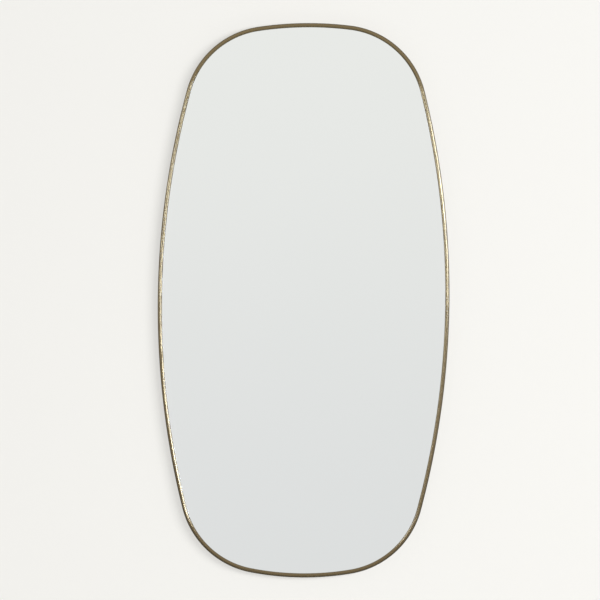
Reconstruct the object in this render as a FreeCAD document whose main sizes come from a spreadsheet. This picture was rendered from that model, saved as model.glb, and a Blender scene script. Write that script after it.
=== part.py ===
import FreeCAD, Part
import math
import os

import Sketcher
from FreeCAD import Placement, Rotation, Vector

# A wall mirror with an irregular, softly rounded outline in a thin domed metal rim.
#
# Frame, in millimetres: +X to the right as seen from the front, the glass faces -Y, +Z is up.
# The wall is the plane y = 0. The origin lies on it, midway between the two hanger ring pivots.
# Seen from the front, the outline is a closed chain of eight tangent arcs. Four long, nearly
# straight arcs (right, crown, left, base) alternate with four corner arcs of one radius. The
# chain is fixed by its overall box, the corner radius and the bearings of the eight joints.
# Every thinner outline inside it has the same centres, with all radii smaller by the inset.

ORIGIN_POINT = (-1, 1)
HORIZONTAL_AXIS = -1
VERTICAL_AXIS = -2
START, END, CENTRE = 1, 2, 3
NEAR = 1e-4

SIZES = {
    # the rim's outer outline
    "overall_width": 579,
    "overall_height": 1100,
    "corner_radius": 173,
    "upper_right_start": 14,
    "upper_right_end": 83,
    "upper_left_start": 98.5,
    "upper_left_end": 164.75,
    "lower_left_start": 194,
    "lower_left_end": 259,
    "lower_right_start": 279.5,
    "lower_right_end": 345,
    # the rim's section: a side wall with a lip in front, its face domed by two roundings
    "face_width": 8.5,
    "rim_depth": 24,
    "wall_thickness": 2,
    "lip_thickness": 3.4,
    "outer_rounding": 4.2,
    "inner_rounding": 3.2,
    "wall_gap": 2,
    # what lies behind the lip, from front to back
    "gasket_thickness": 0.8,
    "gasket_outer_inset": 3.2,
    "gasket_inner_inset": 7.7,
    "glass_thickness": 4,
    "glass_edge_gap": 1,
    "glass_arris": 0.4,
    "tape_thickness": 1,
    "tape_width": 25,
    "tape_length": 900,
    "tape_inner_offset": 60,
    "tape_outer_offset": 180,
    "board_thickness": 8,
    "board_edge_gap": 1.5,
    "setting_pad_length": 40,
    "setting_pad_offset": 70,
    # tabs welded inside the rim and bent over the board
    "tab_thickness": 1,
    "tab_width": 14,
    "tab_leg": 7,
    "tab_foot": 20,
    "tab_seat_gap": 0.2,
    "tab_bend_radius": 0.3,
    "tab_corner_radius": 3,
    "tab_hole_distance": 12,
    # hangers
    "hanger_height": 300,
    "hanger_spacing": 400,
    "strap_thickness": 1.2,
    "strap_width": 14,
    "strap_length": 56,
    "strap_corner_radius": 4,
    "strap_first_hole": 34,
    "strap_second_hole": 48,
    "curl_start": -25,
    "curl_end": 295,
    "pivot_height": 3.3,
    "pivot_gap": 0.08,
    "ring_wire_radius": 1.5,
    "ring_half_width": 12,
    "ring_corner_radius": 4,
    "ring_side": 10,
    # rubber bumpers that hold the rim off the wall
    "bumper_spacing_x": 380,
    "bumper_spacing_z": 800,
    "bumper_base_radius": 10,
    "bumper_top_radius": 8,
    "bumper_bore_radius": 5.2,
    "bumper_floor": 3.6,
    "bumper_rounding": 0.8,
    "washer_radius": 5,
    "washer_thickness": 1,
    # pan head screws
    "shank_radius": 1.75,
    "pilot_radius": 1.8,
    "clearance_radius": 2,
    "head_radius": 3.5,
    "head_height": 2.4,
    "head_rounding": 1.5,
    "drive_length": 3.8,
    "drive_width": 0.9,
    "drive_depth": 1.3,
    "point_length": 2,
    "short_screw": 7.5,
    "long_screw": 11,
}
# bearings round the outline, in degrees from +X, of the tabs that hold the board
TAB_BEARINGS = (-10, 0, 10, 48, 91, 132, 170, 179.5, 189, 226, 269, 312.5)
SIDES = {"left": -1, "right": 1}

doc = FreeCAD.newDocument("irregular_mirror")
sheet = doc.addObject("Spreadsheet::Sheet", "sizes")


def fill_sheet():
    """Writes every driving dimension into the sheet, one row each, with its name as alias."""
    cells = dict(SIZES)
    for number, bearing in enumerate(TAB_BEARINGS, 1):
        cells["tab_bearing_%02d" % number] = bearing
    for row, (name, value) in enumerate(cells.items(), 1):
        sheet.set("A%d" % row, name)
        sheet.set("B%d" % row, str(value))
        sheet.setAlias("B%d" % row, name)
    doc.recompute()


def value(expression):
    """The number that an expression on the sheet's cells comes to."""
    result = sheet.evalExpression(expression)
    return float(getattr(result, "Value", result))


def size(name):
    return value("sizes." + name)


fill_sheet()

# Distances behind the wall plane, as expressions and as numbers: y is negative towards the front.
BOARD_BACK = ("sizes.rim_depth + sizes.wall_gap - sizes.lip_thickness - sizes.gasket_thickness"
              " - sizes.glass_thickness - sizes.tape_thickness - sizes.board_thickness")
board_back_y = -value(BOARD_BACK)
tape_back_y = board_back_y - size("board_thickness")
glass_back_y = tape_back_y - size("tape_thickness")
gasket_back_y = glass_back_y - size("glass_thickness")
outline_z = -size("hanger_height")

GLASS_INSET = "sizes.wall_thickness + sizes.glass_edge_gap"
BOARD_INSET = "sizes.wall_thickness + sizes.board_edge_gap"


# ---------------------------------------------------------------- helpers

def new_body(label):
    body = doc.addObject("PartDesign::Body", label)
    body.Label = label
    return body


def new_sketch(body, name, role, offset=None):
    """A sketch on one of the body's own origin planes, moved along its normal by an expression."""
    sketch = body.newObject("Sketcher::SketchObject", name)
    plane = next(item for item in body.Origin.OriginFeatures if item.Role == role)
    sketch.AttachmentSupport = [(plane, "")]
    sketch.MapMode = "FlatFace"
    if offset:
        sketch.setExpression("AttachmentOffset.Base.z", offset)
    return sketch


def dimension(sketch, kind, *where, expression):
    """A sketch constraint of the given kind whose value follows an expression."""
    number = value(expression)
    if kind == "Angle":
        number = math.radians(number)
        expression = "(%s) * 1 deg" % expression
    index = sketch.addConstraint(Sketcher.Constraint(kind, *where, number))
    sketch.setExpression("Constraints[%d]" % index, expression)


def locate(sketch, element, point, x, y):
    """Ties a point of the sketch to the coordinates that two expressions give."""
    for kind, axis, expression in (("DistanceX", VERTICAL_AXIS, x), ("DistanceY", HORIZONTAL_AXIS, y)):
        if expression == "0":
            sketch.addConstraint(Sketcher.Constraint("PointOnObject", element, point, axis))
        else:
            dimension(sketch, kind, *ORIGIN_POINT, element, point, expression=expression)


def polygon(sketch, corners):
    """A closed polygon whose corners are pairs of expressions."""
    points = [Vector(value(x), value(y), 0) for x, y in corners]
    lines = [Part.LineSegment(a, b) for a, b in zip(points, points[1:] + points[:1])]
    first = sketch.addGeometry(lines, False)[0]
    count = len(corners)
    for index in range(count):
        following = first + (index + 1) % count
        sketch.addConstraint(Sketcher.Constraint("Coincident", first + index, END, following, START))
    for index, (x, y) in enumerate(corners):
        locate(sketch, first + index, START, x, y)


def circle(sketch, x, y, radius):
    """A circle of a bound radius at coordinates given by expressions."""
    shape = Part.Circle(Vector(value(x), value(y), 0), Vector(0, 0, 1), value(radius))
    index = sketch.addGeometry(shape, False)
    dimension(sketch, "Radius", index, expression=radius)
    locate(sketch, index, CENTRE, x, y)


def feature(body, kind, name, profile=None, **bound):
    """A PartDesign feature of the body whose properties follow expressions."""
    item = body.newObject("PartDesign::" + kind, name)
    if profile:
        item.Profile = (profile, [""])
        profile.Visibility = False
    for key, expression in bound.items():
        item.setExpression(key, expression)
    return item


def pad(body, name, profile, length, symmetric=False):
    item = feature(body, "Pad", name, profile, Length=length)
    if symmetric:
        item.SideType = "Symmetric"
    return item


def pocket(body, name, profile, depth=None):
    """A cut along the profile's own normal, through all of the body unless a depth is given."""
    item = feature(body, "Pocket", name, profile)
    item.Reversed = True
    if depth:
        item.setExpression("Length", depth)
    else:
        item.Type = "ThroughAll"
    return item


def edge_names(shape, chosen):
    """The names of the shape's edges that a test picks."""
    return ["Edge%d" % number for number, edge in enumerate(shape.Edges, 1) if chosen(edge)]


def centred_at(edge, **distances):
    """Whether the edge's middle lies at the given distances from the planes across x, y and z."""
    middle = edge.valueAt((edge.FirstParameter + edge.LastParameter) / 2)
    return all(abs(abs(getattr(middle, axis)) - number) < NEAR for axis, number in distances.items())


def round_edges(body, name, radius, chosen):
    """A fillet on the edges of the body's last feature that a test picks."""
    doc.recompute()
    base = body.Tip
    edges = edge_names(base.Shape, chosen)
    item = feature(body, "Fillet", name, Radius=radius)
    item.Base = (base, edges)
    return item


def repeat(label, pattern, places):
    """One sub-part of equal separate solids: the pattern body's shape at each placement."""
    solids = []
    for place in places:
        solid = pattern.Shape.copy()
        solid.Placement = place.multiply(solid.Placement)
        solids.append(solid)
    group = doc.addObject("Part::Feature", label)
    group.Label = label
    group.Shape = Part.Compound(solids)
    return group


# ---------------------------------------------------------------- the outline

JOINTS = ("upper_right_start", "upper_right_end", "upper_left_start", "upper_left_end",
          "lower_left_start", "lower_left_end", "lower_right_start", "lower_right_end")
ARC_NAMES = ("right", "upper right", "crown", "upper left", "left", "lower left", "base", "lower right")
# Rough radii of the right, crown, left and base arcs, only to start the sketch's solver.
STARTING_RADII = (1650, 600, 1600, 525)


def unit(bearing):
    return Vector(math.cos(math.radians(bearing)), math.sin(math.radians(bearing)), 0)


def starting_arcs():
    """Eight arcs near the final outline: centre, radius, first and last bearing of each."""
    ends = [size(name) for name in JOINTS]
    starts = [ends[-1] - 360] + ends[:-1]
    corner = size("corner_radius")
    radii = [radius for long_radius in STARTING_RADII for radius in (long_radius, corner)]
    centres = [Vector(size("overall_width") / 2 - radii[0], 0, 0)]
    for before, radius, bearing in zip(radii, radii[1:], ends):
        centres.append(centres[-1] + unit(bearing) * (before - radius))
    return list(zip(centres, radii, starts, ends))


def outline_sketch(body, name, inset):
    """The closed outline, moved inwards from the rim's outer face by an expression.

    Construction lines hold it: a spoke from each arc's centre to the arc's end, and the box round all.
    """
    sketch = new_sketch(body, name, "XZ_Plane")
    upright = Vector(0, 0, 1)
    arcs = starting_arcs()
    curves = [Part.ArcOfCircle(Part.Circle(centre, upright, radius), math.radians(a), math.radians(b))
              for centre, radius, a, b in arcs]
    spokes = [Part.LineSegment(centre, centre + unit(b) * radius) for centre, radius, a, b in arcs]
    half_width = size("overall_width") / 2
    half_height = size("overall_height") / 2
    corners = [Vector(x * half_width, z * half_height, 0) for x, z in ((1, -1), (1, 1), (-1, 1), (-1, -1))]
    sides = [Part.LineSegment(a, b) for a, b in zip(corners, corners[1:] + corners[:1])]
    arc = sketch.addGeometry(curves, False)
    spoke = sketch.addGeometry(spokes, True)
    side = sketch.addGeometry(sides, True)

    constraint = Sketcher.Constraint
    for index in range(8):
        sketch.addConstraint(constraint("Tangent", arc[index], END, arc[(index + 1) % 8], START))
        sketch.addConstraint(constraint("Coincident", spoke[index], START, arc[index], CENTRE))
        sketch.addConstraint(constraint("Coincident", spoke[index], END, arc[index], END))
    for index in range(4):
        sketch.addConstraint(constraint("Coincident", side[index], END, side[(index + 1) % 4], START))
        sketch.addConstraint(constraint(("Vertical", "Horizontal")[index % 2], side[index]))
    sketch.addConstraint(constraint("Symmetric", side[0], START, side[1], END, *ORIGIN_POINT))
    for index in range(4):
        sketch.addConstraint(constraint("Tangent", side[index], arc[2 * index]))
        corner_radius = "sizes.corner_radius - (%s)" % inset
        dimension(sketch, "Radius", arc[2 * index + 1], expression=corner_radius)
    dimension(sketch, "Distance", side[1], expression="sizes.overall_width - 2 * (%s)" % inset)
    dimension(sketch, "Distance", side[0], expression="sizes.overall_height - 2 * (%s)" % inset)
    for index, joint in enumerate(JOINTS):
        dimension(sketch, "Angle", spoke[index], expression="sizes." + joint)
    return sketch


def outline_slab(label, inset, thickness, back_y):
    """A plate with the outline's shape, its back face at the given depth."""
    body = new_body(label)
    pad(body, label + "_blank", outline_sketch(body, label + "_outline", inset), thickness)
    body.Placement = Placement(Vector(0, back_y, outline_z), Rotation())
    return body


# ---------------------------------------------------------------- the rim and what it holds

def front_edges(shape, outer):
    """Picks the outer or the inner edges of the flat face that looks to the front."""
    front_y = shape.BoundBox.YMin
    face = max((item for item in shape.Faces if item.BoundBox.YMax < front_y + NEAR),
               key=lambda item: item.Area)
    outside = face.OuterWire.Edges

    def chosen(edge):
        on_face = any(edge.isSame(item) for item in face.Edges)
        return on_face and outer == any(edge.isSame(item) for item in outside)
    return chosen


def make_rim():
    """One closed ring of L section: rolled from bar, butt welded and ground, with a domed face."""
    body = outline_slab("rim", "0", "sizes.rim_depth", -size("wall_gap"))
    opening = outline_sketch(body, "rim_opening", "sizes.face_width")
    pocket(body, "rim_opening_cut", opening)
    rebate = outline_sketch(body, "rim_rebate", "sizes.wall_thickness")
    pocket(body, "rim_rebate_cut", rebate, "sizes.rim_depth - sizes.lip_thickness")
    doc.recompute()
    round_edges(body, "outer_dome", "sizes.outer_rounding", front_edges(body.Tip.Shape, True))
    doc.recompute()
    round_edges(body, "inner_dome", "sizes.inner_rounding", front_edges(body.Tip.Shape, False))
    return body


def make_gasket():
    """A soft ring that keeps the glass off the metal lip, hidden behind the lip."""
    body = outline_slab("lip_gasket", "sizes.gasket_outer_inset", "sizes.gasket_thickness",
                        gasket_back_y)
    inner = outline_sketch(body, "gasket_opening", "sizes.gasket_inner_inset")
    pocket(body, "gasket_opening_cut", inner)
    return body


def make_glass():
    """The silvered glass pane, with a small ground arris round both faces."""
    body = outline_slab("mirror_pane", GLASS_INSET, "sizes.glass_thickness", glass_back_y)
    doc.recompute()
    base = body.Tip
    arris = feature(body, "Chamfer", "glass_arris", Size="sizes.glass_arris")
    flat = edge_names(base.Shape, lambda edge: abs(edge.tangentAt(edge.FirstParameter).y) < NEAR)
    arris.Base = (base, flat)
    return body


def make_tapes():
    """Four upright strips of foam tape that bond the glass to the board."""
    offsets = ("-sizes.tape_outer_offset", "-sizes.tape_inner_offset",
               "sizes.tape_inner_offset", "sizes.tape_outer_offset")
    tapes = []
    for number, offset in enumerate(offsets, 1):
        tape = doc.addObject("Part::Box", "mounting_tape_%d" % number)
        tape.Label = "mounting_tape_%d" % number
        tape.setExpression("Length", "sizes.tape_width")
        tape.setExpression("Width", "sizes.tape_thickness")
        tape.setExpression("Height", "sizes.tape_length")
        left = value(offset) - size("tape_width") / 2
        bottom = outline_z - size("tape_length") / 2
        tape.Placement = Placement(Vector(left, glass_back_y, bottom), Rotation())
        tapes.append(tape)
    return tapes


def solved_arcs(sketch):
    """Centre, radius and bearings of the outline's eight arcs, once its sketch is solved."""
    return [(arc.Center, arc.Radius, math.degrees(arc.FirstParameter), math.degrees(arc.LastParameter))
            for arc in sketch.Geometry[:8]]


def wall_point(bearing, inset):
    """The point at a bearing on the outline moved inwards by an inset, in the outline's plane."""
    for centre, radius, first, last in outer_arcs:
        turned = first + (bearing - first) % 360
        if turned <= last + NEAR:
            return Vector(centre.x, centre.y, 0) + unit(bearing) * (radius - inset)
    raise ValueError("no arc has the bearing %g" % bearing)


def facing(bearing):
    """The turn about Y that brings local +X to a bearing of the outline."""
    return Rotation(Vector(0, 1, 0), -bearing)


def make_setting_pads():
    """Two thin rubber strips that carry the glass on the base of the rim's side wall."""
    gap = outline_slab("glass_edge_gap", "sizes.wall_thickness", "sizes.glass_thickness", glass_back_y)
    pocket(gap, "glass_edge_cut", outline_sketch(gap, "glass_edge", GLASS_INSET))
    pads = []
    for name, side in SIDES.items():
        reach = doc.addObject("Part::Box", "setting_pad_reach_" + name)
        reach.setExpression("Length", "sizes.setting_pad_length")
        reach.setExpression("Width", "sizes.glass_thickness")
        reach.setExpression("Height", "sizes.overall_height / 2")
        left = side * size("setting_pad_offset") - size("setting_pad_length") / 2
        bottom = outline_z - size("overall_height") / 2
        reach.Placement = Placement(Vector(left, gasket_back_y, bottom), Rotation())
        strip = doc.addObject("Part::Common", "setting_pad_" + name)
        strip.Label = "setting_pad_" + name
        strip.Base = gap
        strip.Tool = reach
        pads.append(strip)
    return pads


# ---------------------------------------------------------------- screws

def make_screw(label, length):
    """A pan head screw along Y: the head is behind y = 0, the shank and its point before it."""
    body = new_body(label)
    profile = new_sketch(body, label + "_profile", "XY_Plane")
    polygon(profile, (("0", "-(%s)" % length),
                      ("sizes.shank_radius", "sizes.point_length - (%s)" % length),
                      ("sizes.shank_radius", "0"),
                      ("sizes.head_radius", "0"),
                      ("sizes.head_radius", "sizes.head_height"),
                      ("0", "sizes.head_height")))
    turned = feature(body, "Revolution", label + "_turned", profile)
    turned.ReferenceAxis = (profile, ["V_Axis"])
    turned.Angle = 360
    round_edges(body, label + "_crown", "sizes.head_rounding",
                lambda edge: centred_at(edge, x=size("head_radius"), y=size("head_height")))
    for name, across, along in (("slot_x", "drive_length", "drive_width"),
                                ("slot_z", "drive_width", "drive_length")):
        slot = new_sketch(body, "%s_%s" % (label, name), "XZ_Plane", "-sizes.head_height")
        half_x = "sizes.%s / 2" % across
        half_z = "sizes.%s / 2" % along
        polygon(slot, (("-" + half_x, "-" + half_z), (half_x, "-" + half_z),
                       (half_x, half_z), ("-" + half_x, half_z)))
        pocket(body, "%s_%s_cut" % (label, name), slot, "sizes.drive_depth")
    return body


# ---------------------------------------------------------------- board and tabs

def make_board(screw_places):
    """The fibre board behind the glass, with a blind pilot hole for every screw."""
    body = outline_slab("backing_board", BOARD_INSET, "sizes.board_thickness", board_back_y)
    holes = new_sketch(body, "pilot_holes", "XZ_Plane")
    first = None
    for x, z in screw_places:
        centre = Vector(x, z - outline_z, 0)
        index = holes.addGeometry(Part.Circle(centre, Vector(0, 0, 1), size("pilot_radius")), False)
        if first is None:
            first = index
            dimension(holes, "Radius", index, expression="sizes.pilot_radius")
        else:
            holes.addConstraint(Sketcher.Constraint("Equal", first, index))
        holes.addConstraint(Sketcher.Constraint("DistanceX", *ORIGIN_POINT, index, CENTRE, centre.x))
        holes.addConstraint(Sketcher.Constraint("DistanceY", *ORIGIN_POINT, index, CENTRE, centre.y))
    pocket(body, "pilot_hole_cut", holes, "sizes.short_screw - sizes.tab_thickness + 0.4")
    return body


def tab_place(bearing):
    """Where a tab stands: against the rim's inner wall, at the board's back face."""
    point = wall_point(bearing, size("wall_thickness") + size("tab_seat_gap"))
    return Placement(Vector(point.x, board_back_y, point.y + outline_z), facing(bearing))


def make_tab(number, bearing):
    """A steel tab, its leg beside the board's edge and its foot bent over the board's back."""
    label = "retaining_tab_%02d" % number
    body = new_body(label)
    profile = new_sketch(body, label + "_profile", "XY_Plane")
    thick = "sizes.tab_thickness"
    polygon(profile, (("0", "-sizes.tab_leg"), ("0", thick), ("-sizes.tab_foot", thick),
                      ("-sizes.tab_foot", "0"), ("-" + thick, "0"), ("-" + thick, "-sizes.tab_leg")))
    pad(body, label + "_strip", profile, "sizes.tab_width", symmetric=True)
    round_edges(body, label + "_bend", "sizes.tab_bend_radius + " + thick,
                lambda edge: centred_at(edge, x=0, y=size("tab_thickness"), z=0))
    round_edges(body, label + "_corners", "sizes.tab_corner_radius",
                lambda edge: centred_at(edge, x=size("tab_foot"), z=size("tab_width") / 2))
    hole = new_sketch(body, label + "_hole", "XZ_Plane", "-" + thick)
    circle(hole, "-sizes.tab_hole_distance", "0", "sizes.clearance_radius")
    pocket(body, label + "_hole_cut", hole)
    body.Placement = tab_place(bearing)
    return body


# ---------------------------------------------------------------- hangers

def curl_section(sketch):
    """The strap's end, rolled into an open eye round the ring's straight bar."""
    inner = value("sizes.ring_wire_radius + sizes.pivot_gap")
    outer = inner + size("strap_thickness")
    # bearings count from the board's side of the pivot, over the top, to the underside
    first, last = (180 - size(name) for name in ("curl_start", "curl_end"))
    start, end = math.radians(last), math.radians(first)
    upright = Vector(0, 0, 1)
    arcs = [Part.ArcOfCircle(Part.Circle(Vector(), upright, radius), start, end) for radius in (outer, inner)]
    ends = [Part.LineSegment(unit(bearing) * inner, unit(bearing) * outer) for bearing in (last, first)]
    big, small, lower, upper = sketch.addGeometry(arcs + ends, False)
    constraint = Sketcher.Constraint
    for arc in (big, small):
        sketch.addConstraint(constraint("Coincident", arc, CENTRE, *ORIGIN_POINT))
    for line, side in ((lower, START), (upper, END)):
        sketch.addConstraint(constraint("Coincident", line, START, small, side))
        sketch.addConstraint(constraint("Coincident", line, END, big, side))
        sketch.addConstraint(constraint("PointOnObject", *ORIGIN_POINT, line))
    dimension(sketch, "Radius", small, expression="sizes.ring_wire_radius + sizes.pivot_gap")
    dimension(sketch, "Radius", big,
              expression="sizes.ring_wire_radius + sizes.pivot_gap + sizes.strap_thickness")
    dimension(sketch, "Angle", lower, expression="180 - sizes.curl_end")
    dimension(sketch, "Angle", upper, expression="180 - sizes.curl_start")


def make_strap(label, side):
    """A steel hanger strap flat on the board, with its eye at the pivot and two screw holes."""
    body = new_body(label)
    half = "sizes.strap_width / 2"
    flat = new_sketch(body, label + "_flat", "XZ_Plane", "sizes.pivot_height - sizes.strap_thickness")
    polygon(flat, (("-" + half, "-sizes.strap_length"), (half, "-sizes.strap_length"),
                   (half, "0"), ("-" + half, "0")))
    pad(body, label + "_plate", flat, "sizes.strap_thickness")
    round_edges(body, label + "_corners", "sizes.strap_corner_radius",
                lambda edge: centred_at(edge, x=size("strap_width") / 2, z=size("strap_length")))
    holes = new_sketch(body, label + "_holes", "XZ_Plane")
    for name in ("strap_first_hole", "strap_second_hole"):
        circle(holes, "0", "-sizes." + name, "sizes.clearance_radius")
    holes_cut = pocket(body, label + "_hole_cut", holes)
    holes_cut.Reversed = False
    holes_cut.SideType = "Symmetric"
    eye = new_sketch(body, label + "_eye", "YZ_Plane")
    curl_section(eye)
    pad(body, label + "_curl", eye, "sizes.strap_width", symmetric=True)
    body.Placement = pivot_place(side)
    return body


def make_ring(label, side):
    """A D shaped ring of round wire: its bar turns in the strap's eye and its bow hangs below."""
    body = new_body(label)
    path = new_sketch(body, label + "_path", "XZ_Plane")
    wide, corner, drop = size("ring_half_width"), size("ring_corner_radius"), size("ring_side")
    upright = Vector(0, 0, 1)

    def arc(x, z, radius, first, last):
        return Part.ArcOfCircle(Part.Circle(Vector(x, z, 0), upright, radius),
                                math.radians(first), math.radians(last))

    def line(x1, z1, x2, z2):
        return Part.LineSegment(Vector(x1, z1, 0), Vector(x2, z2, 0))

    bar_right = line(0, 0, wide - corner, 0)
    right_corner = arc(wide - corner, -corner, corner, 0, 90)
    right_side = line(wide, -corner, wide, -drop)
    bow = arc(0, -drop, wide, 180, 360)
    left_side = line(-wide, -drop, -wide, -corner)
    left_corner = arc(corner - wide, -corner, corner, 90, 180)
    bar_left = line(corner - wide, 0, 0, 0)
    path.addGeometry([bar_right, right_corner, right_side, bow, left_side, left_corner, bar_left], False)
    constraint = Sketcher.Constraint
    joints = ((0, END, 1, END), (1, START, 2, START), (2, END, 3, END),
              (3, START, 4, START), (4, END, 5, END), (5, START, 6, START))
    for joint in joints:
        path.addConstraint(constraint("Tangent", *joint))
    path.addConstraint(constraint("Coincident", 6, END, 0, START))
    path.addConstraint(constraint("Coincident", 0, START, *ORIGIN_POINT))
    path.addConstraint(constraint("Horizontal", 0))
    path.addConstraint(constraint("Horizontal", 6))
    path.addConstraint(constraint("Vertical", 2))
    path.addConstraint(constraint("Vertical", 4))
    path.addConstraint(constraint("Equal", 1, 5))
    dimension(path, "Radius", 1, expression="sizes.ring_corner_radius")
    locate(path, 3, CENTRE, "0", "-sizes.ring_side")
    dimension(path, "Radius", 3, expression="sizes.ring_half_width")
    section = new_sketch(body, label + "_section", "YZ_Plane")
    circle(section, "0", "0", "sizes.ring_wire_radius")
    wire = feature(body, "AdditivePipe", label + "_wire", section)
    wire.Spine = (path, ["Edge%d" % number for number in range(1, 8)])
    path.Visibility = False
    body.Placement = pivot_place(side)
    return body


def pivot_place(side):
    """The pivot of a hanger ring, to the left (-1) or the right (1)."""
    x = side * size("hanger_spacing") / 2
    return Placement(Vector(x, board_back_y + size("pivot_height"), 0), Rotation())


# ---------------------------------------------------------------- bumpers

BUMPER_HEIGHT = BOARD_BACK


def bumper_places():
    """The four bumpers' centres at the board's back face, clockwise from the upper left."""
    x, z = size("bumper_spacing_x") / 2, size("bumper_spacing_z") / 2
    return [Vector(sign_x * x, board_back_y, outline_z + sign_z * z)
            for sign_x, sign_z in ((-1, 1), (1, 1), (1, -1), (-1, -1))]


def make_bumper(number, place):
    """A tapered rubber foot with a counterbore for its washer and screw."""
    label = "wall_bumper_%d" % number
    body = new_body(label)
    profile = new_sketch(body, label + "_profile", "XY_Plane")
    polygon(profile, (("sizes.clearance_radius", "0"),
                      ("sizes.bumper_base_radius", "0"),
                      ("sizes.bumper_top_radius", BUMPER_HEIGHT),
                      ("sizes.bumper_bore_radius", BUMPER_HEIGHT),
                      ("sizes.bumper_bore_radius", "sizes.bumper_floor"),
                      ("sizes.clearance_radius", "sizes.bumper_floor")))
    turned = feature(body, "Revolution", label + "_moulded", profile)
    turned.ReferenceAxis = (profile, ["V_Axis"])
    turned.Angle = 360
    round_edges(body, label + "_lip", "sizes.bumper_rounding",
                lambda edge: centred_at(edge, x=size("bumper_top_radius"), y=value(BUMPER_HEIGHT)))
    body.Placement = Placement(place, Rotation())
    return body


def make_washer():
    """A steel washer that spreads the screw's load on the bumper's floor."""
    body = new_body("washer_pattern")
    face = new_sketch(body, "washer_face", "XZ_Plane", "-sizes.washer_thickness")
    circle(face, "0", "0", "sizes.washer_radius")
    circle(face, "0", "0", "sizes.clearance_radius")
    pad(body, "washer_disc", face, "sizes.washer_thickness")
    return body


# ---------------------------------------------------------------- assembly

def shifted(place, y):
    return Placement(place + Vector(0, y, 0), Rotation())


rim = make_rim()
doc.recompute()
outer_arcs = solved_arcs(doc.getObject("rim_outline"))
for arc_name, (centre, radius, first, last) in zip(ARC_NAMES, outer_arcs):
    print("%-11s arc: radius %7.1f, from %6.1f to %6.1f degrees" % (arc_name, radius, first, last))

subparts = [rim, make_gasket(), make_glass()]
subparts += make_setting_pads() + make_tapes()

tabs = [make_tab(number, size("tab_bearing_%02d" % number))
        for number in range(1, len(TAB_BEARINGS) + 1)]
subparts += tabs
hole_on_tab = Placement(Vector(-size("tab_hole_distance"), size("tab_thickness"), 0), Rotation())
tab_screw_places = [tab.Placement.multiply(hole_on_tab) for tab in tabs]

subparts += [make_strap("hanger_strap_" + name, side) for name, side in SIDES.items()]
subparts += [make_ring("hanger_ring_" + name, side) for name, side in SIDES.items()]
strap_back_y = board_back_y + size("strap_thickness")
hanger_screw_places = [
    Placement(Vector(side * size("hanger_spacing") / 2, strap_back_y, -size(hole)), Rotation())
    for side in SIDES.values() for hole in ("strap_first_hole", "strap_second_hole")]

feet = bumper_places()
subparts += [make_bumper(number, place) for number, place in enumerate(feet, 1)]
bumper_screw_places = [shifted(place, size("bumper_floor") + size("washer_thickness")) for place in feet]

every_screw = tab_screw_places + hanger_screw_places + bumper_screw_places
board = make_board([(place.Base.x, place.Base.z) for place in every_screw])
subparts.append(board)

short_screw = make_screw("short_screw_pattern", "sizes.short_screw")
long_screw = make_screw("long_screw_pattern", "sizes.long_screw")
washer = make_washer()
doc.recompute()
subparts += [repeat("tab_screws", short_screw, tab_screw_places),
             repeat("hanger_screws", short_screw, hanger_screw_places),
             repeat("bumper_screws", long_screw, bumper_screw_places),
             repeat("bumper_washers", washer, [shifted(place, size("bumper_floor")) for place in feet])]
doc.recompute()

# ---------------------------------------------------------------- checks and files

for item in doc.Objects:
    if "Invalid" in item.State or "Error" in item.State:
        raise RuntimeError("%s is %s" % (item.Label, item.State))
    if item.TypeId == "Sketcher::SketchObject" and not item.FullyConstrained:
        raise RuntimeError("the sketch %s is not fully constrained" % item.Label)

for cut in (item for item in doc.Objects if item.TypeId == "PartDesign::Pocket"):
    before = cut.BaseFeature.Shape.Volume
    if cut.Shape.Volume > before - NEAR:
        raise RuntimeError("%s cuts nothing" % cut.Label)

os.makedirs("parts", exist_ok=True)
for item in subparts:
    shape = item.Shape
    if shape.isNull() or not shape.isValid():
        raise RuntimeError("%s has no valid shape" % item.Label)
    shape.exportStep("parts/%s.step" % item.Label)
    box = shape.optimalBoundingBox(False)
    print("%-18s %2d solid(s) %12.2f mm3, x %8.2f..%8.2f, y %7.2f..%7.2f, z %8.2f..%8.2f" % (
        item.Label, len(shape.Solids), shape.Volume,
        box.XMin, box.XMax, box.YMin, box.YMax, box.ZMin, box.ZMax))
print("%d sub-parts" % len(subparts))
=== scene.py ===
# %% [markdown]
# # A wall mirror with an irregular outline in a thin brass rim
#
# The mirror hangs on a wall: a closed ring of brass, rolled and welded, holds a silvered pane, and
# behind the pane come a fibre board, the steel tabs that keep it in, two hanger rings and four
# rubber bumpers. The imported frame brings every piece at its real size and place. This script only
# dresses them: finer meshes where a close look needs them, and a finish for every surface.
#
# Everything is in metres: +X to the right seen from the front, the glass faces -Y, +Z is up, and
# the wall is the plane y = 0.

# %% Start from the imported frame
import math
import random

import bpy
import numpy as np
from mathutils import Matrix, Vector


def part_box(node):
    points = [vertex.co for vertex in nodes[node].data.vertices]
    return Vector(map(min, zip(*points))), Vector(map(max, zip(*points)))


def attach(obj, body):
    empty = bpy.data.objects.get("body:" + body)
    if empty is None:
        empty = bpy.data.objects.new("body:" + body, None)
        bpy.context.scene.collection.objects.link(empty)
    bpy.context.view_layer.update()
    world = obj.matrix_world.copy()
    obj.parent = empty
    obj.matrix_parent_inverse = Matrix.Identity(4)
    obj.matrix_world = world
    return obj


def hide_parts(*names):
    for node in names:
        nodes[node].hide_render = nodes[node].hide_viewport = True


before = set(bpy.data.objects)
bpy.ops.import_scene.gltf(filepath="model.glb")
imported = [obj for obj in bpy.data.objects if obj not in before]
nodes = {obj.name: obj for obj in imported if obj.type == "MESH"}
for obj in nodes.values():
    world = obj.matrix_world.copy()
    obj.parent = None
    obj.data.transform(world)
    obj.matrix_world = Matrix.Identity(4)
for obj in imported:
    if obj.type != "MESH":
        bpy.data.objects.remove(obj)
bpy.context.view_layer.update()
MM = 0.001

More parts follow.
